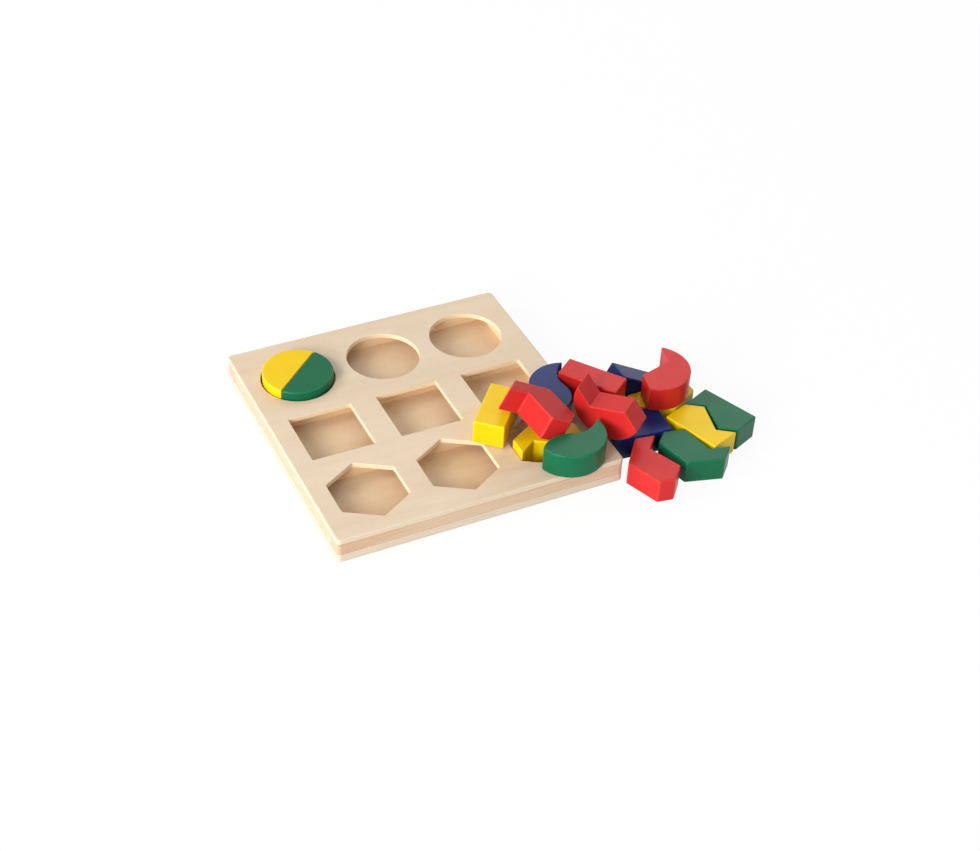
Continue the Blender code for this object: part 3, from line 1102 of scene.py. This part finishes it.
@dataclass
class BlockSet:
    """The eighteen half blocks: seated, dropped into an opening, or lying in the heap."""

    board: Board
    rest: float = 0.3 * MM  # between a block and what carries it, where that is another piece

    def blocks(self) -> Iterable[HalfBlock]:
        """Say what the blocks are and how they lie.

        Yields:
            Each block, with its paint, shape, cut and place.
        """
        board = self.board
        recess = board.base + self.rest
        top = board.height + self.rest
        on_block = HalfBlock.thickness + self.rest
        in_recess = recess + on_block
        first = (board.columns[0], board.rows[Shape.CIRCLE])

        def third(x: float, y: float) -> Point:
            """Return a place in mm from the middle of the third hexagon opening."""
            return (board.columns[2] + x * MM, board.rows[Shape.HEXAGON] + y * MM)

        def end(x: float, y: float) -> Point:
            """Return a place in mm from the middle of the board's right end."""
            return (board.length / 2 + x * MM, y * MM)

        circle, square, hexagon = Shape.CIRCLE, Shape.SQUARE, Shape.HEXAGON
        straight, zigzag, wave = Cut.STRAIGHT, Cut.ZIGZAG, Cut.WAVE
        yield HalfBlock(YELLOW, circle, straight, Pose(first, recess, -48.3), "circle_straight_yellow")
        yield HalfBlock(GREEN, circle, straight, Pose(first, recess, 131.7), "circle_straight_green")
        dropped = Pose(third(-0.4, -16.2), recess, -90)
        yield HalfBlock(YELLOW, hexagon, zigzag, dropped, "hexagon_zigzag_yellow")
        flat = Pose(third(-21.3, 23.7), top, -41.7)
        yield HalfBlock(YELLOW, square, straight, flat, "square_straight_yellow")
        yield HalfBlock(GREEN, circle, wave, Pose(third(10.5, -27), top, 106.7), "circle_wave_green")
        yield HalfBlock(BLUE, circle, wave, Pose(third(38.6, 37), top, -24), "circle_wave_blue", True)
        leaning = Pose(third(-14.4, -3.7), in_recess, 226.6, tilt=24, towards=-12.6)
        yield HalfBlock(RED, hexagon, zigzag, leaning, "hexagon_zigzag_red_back")
        on_edge = Pose(end(11, -53.2), top, -53.5, -90)
        yield HalfBlock(RED, square, straight, on_edge, "square_straight_red")
        standing = Pose(end(6.3, -99.8), top, -51.4, 68.1)
        yield HalfBlock(RED, circle, zigzag, standing, "circle_zigzag_red_standing", True)
        yield HalfBlock(GREEN, square, zigzag, Pose(end(106, -118.1), 0, -157.3), "square_zigzag_green")
        yield HalfBlock(YELLOW, square, zigzag, Pose(end(104, -118.8), 0, 19.8), "square_zigzag_yellow")
        yield HalfBlock(GREEN, hexagon, zigzag, Pose(end(76.9, -139.9), 0, 44.9), "hexagon_zigzag_green")
        nearest = Pose(end(37, -151.2), 0, -8.7)
        yield HalfBlock(RED, hexagon, zigzag, nearest, "hexagon_zigzag_red_front", True)
        beside = Pose(end(35.2, -86.7), 0, 85.7)
        yield HalfBlock(BLUE, square, wave, beside, "square_wave_blue_front", True)
        yield HalfBlock(BLUE, square, wave, Pose(end(31.3, -33), 0, 0), "square_wave_blue_back")
        under = Pose(end(79.5, -58.5), 0, 90)
        yield HalfBlock(YELLOW, hexagon, straight, under, "hexagon_straight_yellow")
        on_top = Pose(end(75.2, -60), on_block, 137.5)
        yield HalfBlock(RED, circle, zigzag, on_top, "circle_zigzag_red_top")
        yield HalfBlock(BLUE, hexagon, straight, Pose(end(70.9, -45.4), 0, 0, 60), "hexagon_straight_blue")

    def build(self) -> None:
        """Build every block."""
        for block in self.blocks():
            block.build()


# The studio


@dataclass(frozen=True)
class Lamp:
    """A soft square lamp that faces the board."""

    name: str
    place: Triple
    power: float
    size: float
    target: Triple = (0.06, -0.03, 0.0)

    def build(self) -> None:
        """Hang the lamp."""
        towards = Vector(self.target) - Vector(self.place)
        turn = towards.to_track_quat("-Z", "Y").to_euler()
        bpy.ops.object.light_add(type="AREA", location=self.place, rotation=turn)
        lamp = bpy.context.object
        lamp.name = self.name
        lamp.data.energy = self.power
        lamp.data.size = self.size


@dataclass
class Studio:
    """A pale floor, soft light and the camera."""

    floor_size: float = 60.0
    floor_drop: float = 0.2 * MM
    floor_colour: Colour = (0.92, 0.92, 0.92)
    floor_glow: float = 0.93
    room_light: float = 0.53
    lamps: tuple[Lamp, ...] = (
        Lamp("soft_side", (-2.6, 0.5, 1.75), 34.0, 0.9),
        Lamp("soft_low", (-2.4, -1.4, 0.9), 58.0, 0.9),
        Lamp("soft_over", (-2.0, -1.5, 1.6), 22.0, 0.9),
        Lamp("soft_back", (1.45, 1.55, 1.6), 11.0, 1.2),
    )
    camera_place: Triple = (-0.5583, -1.1956, 1.1032)
    camera_turn: Triple = (2.2287, -0.485, 0.2878)  # axis times angle, for a view along +Z with Y down
    camera_lens: float = 67.15
    camera_sensor: float = 36.0
    camera_reach: float = 100.0

    def build_floor(self) -> None:
        """Lay the floor, which looks white to the camera and still takes the shadow."""
        Bench.clear()
        bpy.ops.mesh.primitive_plane_add(size=self.floor_size, location=(0, 0, -self.floor_drop))
        floor = Bench.take("floor")
        sheet = NodeSheet.of_material("floor_white")
        seen = self.seen(sheet) * self.floor_glow
        cloth = sheet.take("ShaderNodeBsdfDiffuse", 0, {}, {"Color": (*self.floor_colour, 1)})
        glow = sheet.take("ShaderNodeEmission", 0, {}, {"Color": (1, 1, 1, 1), "Strength": 1.0})
        sheet.close(sheet.take("ShaderNodeMixShader", 0, {}, {0: seen, 1: cloth, 2: glow}))
        floor.data.materials.append(sheet.owner)

    @staticmethod
    def seen(sheet: NodeSheet) -> Wire:
        """Find what the camera, a reflection or a view through something sees.

        Args:
            sheet: the sheet that asks.

        Returns:
            1 for such a ray, else 0.
        """
        path = sheet.add("ShaderNodeLightPath")
        names = ("Is Camera Ray", "Is Glossy Ray", "Is Transmission Ray")
        camera, glossy, through = [Wire(sheet, path.outputs[name]) for name in names]
        return (camera + glossy + through).at_most(1.0)

    def build_room(self) -> None:
        """Light the room evenly, and show it as white."""
        world = bpy.data.worlds.new("room")
        bpy.context.scene.world = world
        sheet = NodeSheet(world)
        strength = self.room_light + self.seen(sheet) * (1.0 - self.room_light)
        light = sheet.take("ShaderNodeBackground", 0, {}, {"Color": (1, 1, 1, 1), "Strength": strength})
        sheet.close(light, "ShaderNodeOutputWorld")

    def build_camera(self) -> None:
        """Set the camera where the picture was taken from."""
        turn = Vector(self.camera_turn)
        view = Matrix.Rotation(turn.length, 3, turn.normalized())
        columns = [Vector(view[0]), -Vector(view[1]), -Vector(view[2])]
        rotation = Matrix(columns).transposed().to_4x4()
        bpy.ops.object.camera_add()
        camera = bpy.context.object
        camera.name = "camera"
        camera.matrix_world = Matrix.Translation(Vector(self.camera_place)) @ rotation
        camera.data.lens = self.camera_lens
        camera.data.sensor_width = self.camera_sensor
        camera.data.sensor_fit = "HORIZONTAL"
        camera.data.clip_end = self.camera_reach
        bpy.context.scene.camera = camera

    def build(self) -> None:
        """Build the whole studio."""
        self.build_floor()
        self.build_room()
        for lamp in self.lamps:
            lamp.build()
        self.build_camera()
        bpy.context.scene.view_settings.view_transform = "Standard"


def main() -> None:
    """Load the frame, build the puzzle and its studio."""
    logging.basicConfig(level=logging.INFO, format="%(message)s")
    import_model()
    board = Board()
    board.build()
    BlockSet(board).build()
    Studio().build()


if __name__ == "__main__":
    main()
